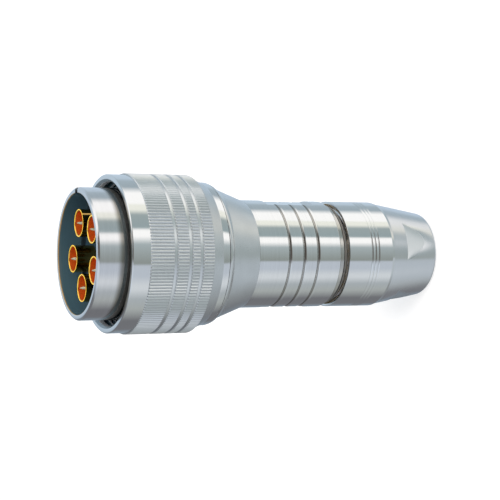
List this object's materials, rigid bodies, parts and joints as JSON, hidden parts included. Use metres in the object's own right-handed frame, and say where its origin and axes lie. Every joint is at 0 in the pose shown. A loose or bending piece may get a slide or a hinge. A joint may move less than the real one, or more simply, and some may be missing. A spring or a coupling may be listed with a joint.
{
  "type": "din coaxial connector",
  "caption": "Circular cable plug with a knurled coupling ring, a keyed shell round gold coaxial contacts, a cone adapter, a grooved barrel and a tapered cable nut.",
  "frame": {"origin": "centre of the tail nut's end face, on which the plug stands", "axes": "+Z along the plug from the cable end to the mating end; +X towards the key slot"},
  "size_m": [0.05, 0.05, 0.1217],
  "materials": {
    "polished_steel": "polished turned stainless steel",
    "knurled_steel": "turned stainless steel, straight knurled",
    "blasted_steel": "bead-blasted stainless steel",
    "barrel_steel": "polished turned stainless steel",
    "nut_steel": "turned stainless steel, satin cone",
    "washer_steel": "plain turned steel",
    "spring_steel": "blued spring steel",
    "insulator": "black moulded insulator",
    "collet_plastic": "dark moulded plastic",
    "seal_rubber": "matt black rubber",
    "gap_rubber": "dark brown rubber",
    "contact_gold": "gold plated",
    "bead_plastic": "white fluoroplastic",
    "pin_silver": "silver plated"
  },
  "bodies": {
    "main": {"plug_shell": "polished_steel", "thrust_washer": "washer_steel", "interface_gasket": "seal_rubber", "insert_front": "insulator", "insert_rear": "insulator", "insert_snap_ring": "spring_steel", "cone_adapter": "blasted_steel", "shell_seal": "seal_rubber", "barrel_seal": "seal_rubber", "barrel": "barrel_steel", "gap_seal": "gap_rubber", "gland_washer": "washer_steel", "gland_seal": "seal_rubber", "clamp_collet": "collet_plastic", "contact_sleeve_1": "contact_gold", "contact_bead_1": "bead_plastic", "contact_pin_1": "pin_silver", "contact_sleeve_2": "contact_gold", "contact_bead_2": "bead_plastic", "contact_pin_2": "pin_silver", "contact_sleeve_3": "contact_gold", "contact_bead_3": "bead_plastic", "contact_pin_3": "pin_silver", "contact_sleeve_4": "contact_gold", "contact_bead_4": "bead_plastic", "contact_pin_4": "pin_silver", "contact_sleeve_5": "contact_gold", "contact_bead_5": "bead_plastic", "contact_pin_5": "pin_silver"},
    "coupling": {"coupling_ring": "knurled_steel"},
    "slip": {"slip_ring": "washer_steel"},
    "nut": {"tail_nut": "nut_steel"}
  },
  "joints": [
    {"name": "coupling_turn", "type": "hinge", "parent": "main", "child": "coupling", "pos_m": [0, 0, 0.0822], "axis": [0, 0, 1], "continuous": true},
    {"name": "nut_travel", "type": "slide", "parent": "main", "child": "slip", "axis": [0, 0, -1], "range_m": [0, 0.009]},
    {"name": "nut_turn", "type": "hinge", "parent": "slip", "child": "nut", "pos_m": [0, 0, 0.007], "axis": [0, 0, -1], "range_deg": [0, 2160]}
  ],
  "couplings": [
    {"joint": "nut_travel", "follows": "nut_turn", "m_per_rad": 0.00023873}
  ]
}
